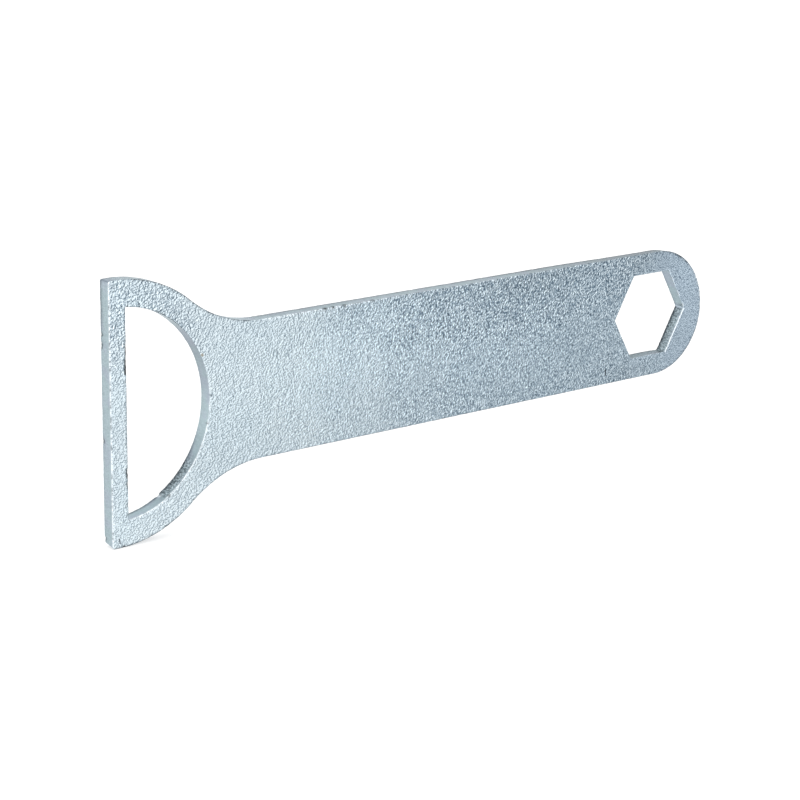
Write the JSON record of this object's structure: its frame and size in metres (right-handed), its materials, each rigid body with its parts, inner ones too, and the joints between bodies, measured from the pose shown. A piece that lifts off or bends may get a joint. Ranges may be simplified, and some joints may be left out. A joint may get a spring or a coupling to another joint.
{
  "type": "fire hydrant wrench",
  "caption": "Flat steel wrench for fire hydrants, cut from plate: a round head with a D-shaped opening at one end, a parallel shank, and a hexagonal socket through the rounded other end.",
  "frame": {"origin": "centre of the hexagonal socket, at mid-thickness of the plate", "axes": "+X along the shank, away from the D-shaped head; +Y through the thickness, from the front face to the back face; +Z across the blade, in its plane"},
  "size_m": [0.2707, 0.005, 0.089],
  "materials": {
    "zinc_plated_steel": "bright zinc plate over hot-rolled plate, pale blue-white, semi-gloss, with a fine raised grain on the faces and smoother, greyer cut edges"
  },
  "bodies": {
    "root": {"wrench_plate": "zinc_plated_steel"}
  },
  "joints": []
}
